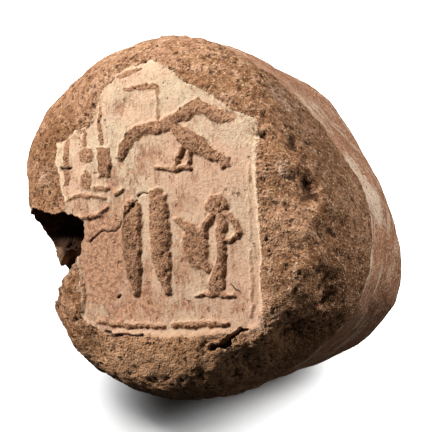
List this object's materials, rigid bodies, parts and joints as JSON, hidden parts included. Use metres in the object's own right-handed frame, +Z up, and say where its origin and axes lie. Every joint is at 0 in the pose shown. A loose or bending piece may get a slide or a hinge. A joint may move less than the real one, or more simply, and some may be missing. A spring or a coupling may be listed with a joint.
{
  "type": "funerary cone",
  "caption": "Stamped head of a fired clay cone with a chipped edge and a broken-off shaft, lying on its side.",
  "frame": {"origin": "bottom centre of the bounding box, on the surface that the cone lies on", "axes": "+Z up, the stamped face looks towards -Y and up, +X to the right of someone who faces it and along the longest side of the bounding box"},
  "size_m": [0.1032, 0.0926, 0.0911],
  "materials": {
    "fired_clay": "unglazed coarse fired clay, brown and porous outside, cream to pinkish inside the stamped panel"
  },
  "bodies": {
    "root": {"funerary_cone": "fired_clay"}
  },
  "joints": []
}
